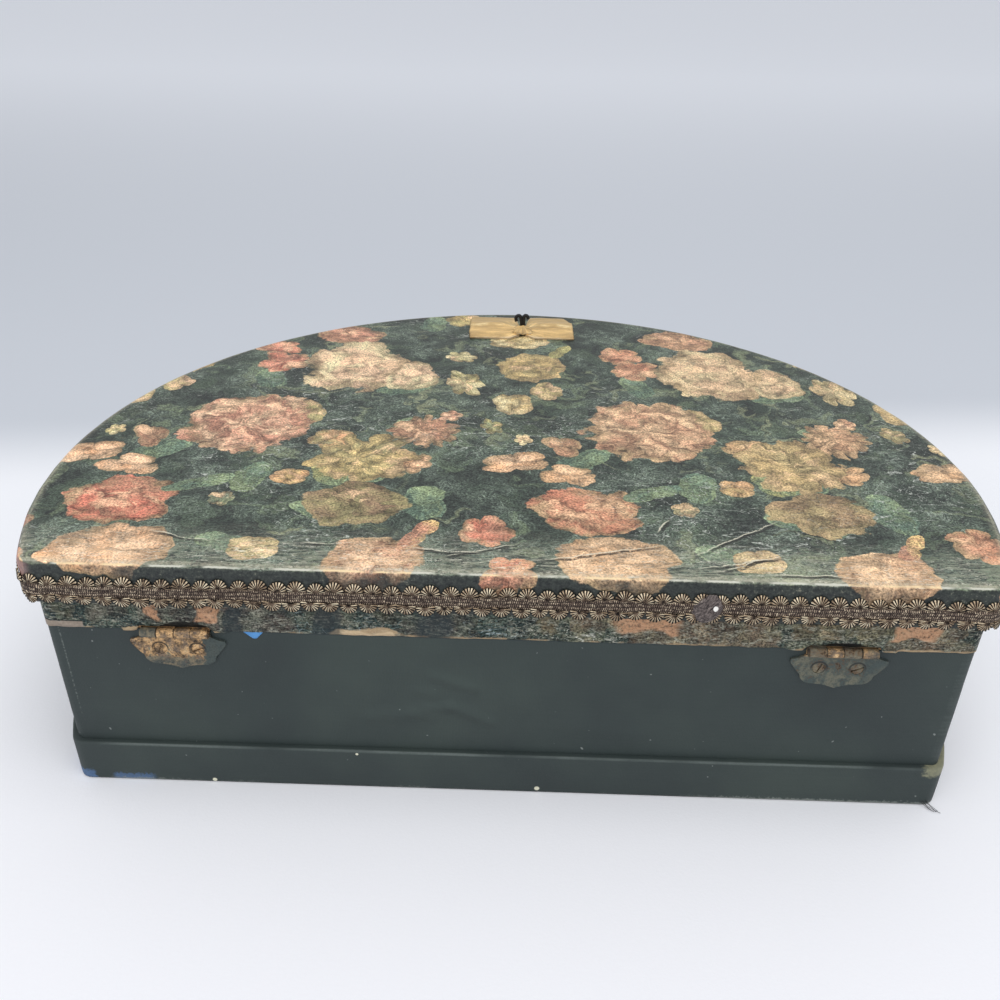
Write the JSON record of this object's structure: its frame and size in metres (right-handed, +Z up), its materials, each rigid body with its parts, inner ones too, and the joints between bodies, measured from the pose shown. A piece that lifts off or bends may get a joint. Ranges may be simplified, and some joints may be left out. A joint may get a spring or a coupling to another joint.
{
  "type": "storage box",
  "caption": "Half-moon storage box with a papered, braid-edged lid that overhangs cloth-covered walls and swings up on brass hinges along its flat back.",
  "frame": {"origin": "on the face that the box stands on, at the centre of the circle that its bow follows", "axes": "+X along the flat back towards the hinge called left (left as seen from behind), +Y from the bow to the flat hinged back, +Z up"},
  "size_m": [0.3378, 0.242, 0.1011],
  "materials": {
    "bottom_paper": "matt, rubbed",
    "wood_board": "bare softwood, hidden under the coverings",
    "pasteboard": "grey-brown pasteboard, hidden under the coverings",
    "green_cloth": "dark green book cloth, slight sheen, bubbled and rubbed",
    "blue_lining": "plain matt blue paper",
    "floral_paper": "varnished floral paper, creased and worn",
    "metallic_braid": "tarnished metallic gimp",
    "tarnished_brass": "tarnished, partly painted over",
    "gold_ribbon": "gold metallic ribbon",
    "black_wire": "black covered wire"
  },
  "bodies": {
    "base": {"bottom_paper": "bottom_paper", "bottom_board": "wood_board", "back_wall": "wood_board", "curved_wall": "pasteboard", "plinth_back_strip": "pasteboard", "plinth_curved_strip": "pasteboard", "plinth_cloth": "green_cloth", "wall_cloth": "green_cloth", "floor_lining": "blue_lining", "wall_lining": "blue_lining", "left_hinge_base_leaf": "tarnished_brass", "left_hinge_pin": "tarnished_brass", "left_hinge_base_screws": "tarnished_brass", "right_hinge_base_leaf": "tarnished_brass", "right_hinge_pin": "tarnished_brass", "right_hinge_base_screws": "tarnished_brass"},
    "lid": {"lid_board": "wood_board", "lid_back_rail": "wood_board", "lid_curved_rail": "pasteboard", "lid_top_paper": "floral_paper", "lid_band_paper": "floral_paper", "lid_top_lining": "blue_lining", "lid_rim_lining": "blue_lining", "gimp_braid": "metallic_braid", "braid_end": "metallic_braid", "bow_left_loop": "gold_ribbon", "bow_right_loop": "gold_ribbon", "bow_knot": "gold_ribbon", "wire_stem": "black_wire", "left_hinge_lid_leaf": "tarnished_brass", "left_hinge_lid_screws": "tarnished_brass", "right_hinge_lid_leaf": "tarnished_brass", "right_hinge_lid_screws": "tarnished_brass"}
  },
  "joints": [
    {"name": "lid_hinge", "type": "hinge", "parent": "base", "child": "lid", "pos_m": [0, 0.06885, 0.067], "axis": [-1, 0, 0], "range_deg": [0, 170]}
  ]
}
